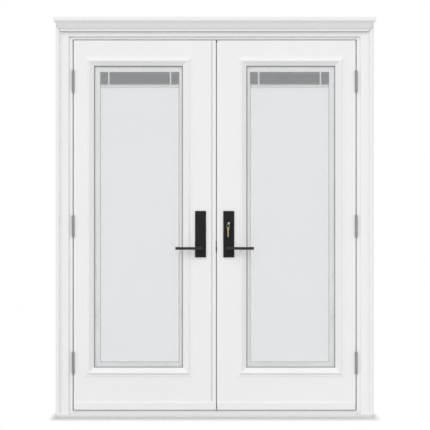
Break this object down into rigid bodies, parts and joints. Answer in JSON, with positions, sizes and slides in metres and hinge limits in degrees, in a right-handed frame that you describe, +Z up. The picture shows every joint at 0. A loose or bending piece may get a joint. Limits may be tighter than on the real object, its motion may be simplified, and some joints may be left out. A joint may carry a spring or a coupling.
{
  "type": "double steel entry door",
  "caption": "Pair of outswing steel entry doors with tall glazed lites and raised blinds, in a frame with brickmould, crown cap and sill; levers, lock, bolts and blinds move.",
  "frame": {"origin": "middle of the sill's underside, in the plane of the jambs' outer edge", "axes": "+Z up, -Y to the outside of the house, +X to the active leaf"},
  "size_m": [1.758, 0.239, 2.177],
  "materials": {
    "door_paint": "satin white paint on steel",
    "frame_paint": "white painted",
    "moulding": "white, satin",
    "lite_frame": "white, fine texture",
    "sill": "white powder coat",
    "sweep": "white vinyl",
    "seal": "matt",
    "hinge": "satin",
    "handle": "matt black",
    "bolt_steel": "satin",
    "key_steel": "polished nickel",
    "brass": "worn",
    "core": "foam and timber",
    "glass": "clear",
    "spacer": "satin",
    "blind_white": "white lacquer",
    "slats": "lacquer",
    "tape": "white braid"
  },
  "bodies": {
    "frame": {"left_jamb": "frame_paint", "right_jamb": "frame_paint", "head_jamb": "frame_paint", "side_brickmoulds": "moulding", "head_brickmould": "moulding", "crown_cap": "moulding", "sill": "sill", "sill_cap": "sill", "door_stops": "frame_paint", "weatherstrips": "seal", "jamb_hinge_leaves": "hinge", "hinge_pins": "hinge", "bolt_strikes": "hinge"},
    "passive_leaf": {"passive_core": "core", "passive_skins": "door_paint", "passive_outer_lite_frame": "lite_frame", "passive_inner_lite_frame": "lite_frame", "passive_panes": "glass", "passive_spacer": "spacer", "passive_headrail": "blind_white", "passive_slats": "slats", "passive_ladders": "tape", "passive_drip_sweep": "sweep", "passive_hinge_leaves": "hinge", "passive_handle_plates": "handle", "passive_levers": "handle", "astragal": "door_paint", "astragal_seal": "seal", "strike_plate": "handle"},
    "passive_blind_rail": {"passive_bottom_rail": "blind_white"},
    "passive_blind_knob": {"passive_operator": "lite_frame"},
    "top_bolt": {"top_flush_bolt": "hinge"},
    "bottom_bolt": {"bottom_flush_bolt": "hinge"},
    "active_leaf": {"active_core": "core", "active_skins": "door_paint", "active_outer_lite_frame": "lite_frame", "active_inner_lite_frame": "lite_frame", "active_panes": "glass", "active_spacer": "spacer", "active_headrail": "blind_white", "active_slats": "slats", "active_ladders": "tape", "active_drip_sweep": "sweep", "active_hinge_leaves": "hinge", "active_outer_plate": "handle", "active_inner_plate": "handle", "edge_plates": "handle", "lock_cylinder": "handle"},
    "active_blind_rail": {"active_bottom_rail": "blind_white"},
    "active_blind_knob": {"active_operator": "lite_frame"},
    "lever_set": {"outer_lever": "handle", "inner_lever": "handle", "lever_spindle": "bolt_steel"},
    "latch": {"latch_bolt": "bolt_steel"},
    "key_set": {"key_plug": "brass", "key": "key_steel", "thumbturn": "handle"},
    "spare_keys": {"key_ring": "key_steel", "spare_key": "brass"},
    "deadbolt": {"deadbolt": "bolt_steel"}
  },
  "joints": [
    {"name": "passive_swing", "type": "hinge", "parent": "frame", "child": "passive_leaf", "pos_m": [-0.7725, -0.008, 0], "axis": [0, 0, -1], "range_deg": [0, 110]},
    {"name": "active_swing", "type": "hinge", "parent": "frame", "child": "active_leaf", "pos_m": [0.7725, -0.008, 0], "axis": [0, 0, 1], "range_deg": [0, 110]},
    {"name": "passive_blind_drop", "type": "slide", "parent": "passive_leaf", "child": "passive_blind_rail", "axis": [0, 0, -1], "range_m": [0, 1.497], "deforming": ["passive_slats", "passive_ladders"]},
    {"name": "passive_blind_knob_slide", "type": "slide", "parent": "passive_leaf", "child": "passive_blind_knob", "axis": [0, 0, 1], "range_m": [0, 1.497]},
    {"name": "active_blind_drop", "type": "slide", "parent": "active_leaf", "child": "active_blind_rail", "axis": [0, 0, -1], "range_m": [0, 1.497], "deforming": ["active_slats", "active_ladders"]},
    {"name": "active_blind_knob_slide", "type": "slide", "parent": "active_leaf", "child": "active_blind_knob", "axis": [0, 0, 1], "range_m": [0, 1.497]},
    {"name": "top_bolt_throw", "type": "slide", "parent": "passive_leaf", "child": "top_bolt", "axis": [0, 0, 1], "range_m": [0, 0.015]},
    {"name": "bottom_bolt_throw", "type": "slide", "parent": "passive_leaf", "child": "bottom_bolt", "axis": [0, 0, -1], "range_m": [0, 0.015]},
    {"name": "lever_press", "type": "hinge", "parent": "active_leaf", "child": "lever_set", "pos_m": [0.077, 0.022, 0.917], "axis": [0, 1, 0], "range_deg": [0, 45], "stiffness_Nm_per_rad": 2, "springref_deg": -22.92},
    {"name": "latch_draw", "type": "slide", "parent": "active_leaf", "child": "latch", "axis": [1, 0, 0], "range_m": [0, 0.012]},
    {"name": "key_rotate", "type": "hinge", "parent": "active_leaf", "child": "key_set", "pos_m": [0.077, 0.022, 1.053], "axis": [0, 1, 0], "range_deg": [0, 90]},
    {"name": "deadbolt_throw", "type": "slide", "parent": "active_leaf", "child": "deadbolt", "axis": [-1, 0, 0], "range_m": [0, 0.025]},
    {"name": "key_ring_swing", "type": "hinge", "parent": "key_set", "child": "spare_keys", "pos_m": [0.07344, -0.029, 1.04712], "axis": [-1, 0, 0], "range_deg": [-8, 40]}
  ],
  "couplings": [
    {"joint": "passive_blind_knob_slide", "follows": "passive_blind_drop", "ratio": 1},
    {"joint": "active_blind_knob_slide", "follows": "active_blind_drop", "ratio": 1},
    {"joint": "latch_draw", "follows": "lever_press", "m_per_rad": 0.01527},
    {"joint": "deadbolt_throw", "follows": "key_rotate", "m_per_rad": 0.0159}
  ]
}
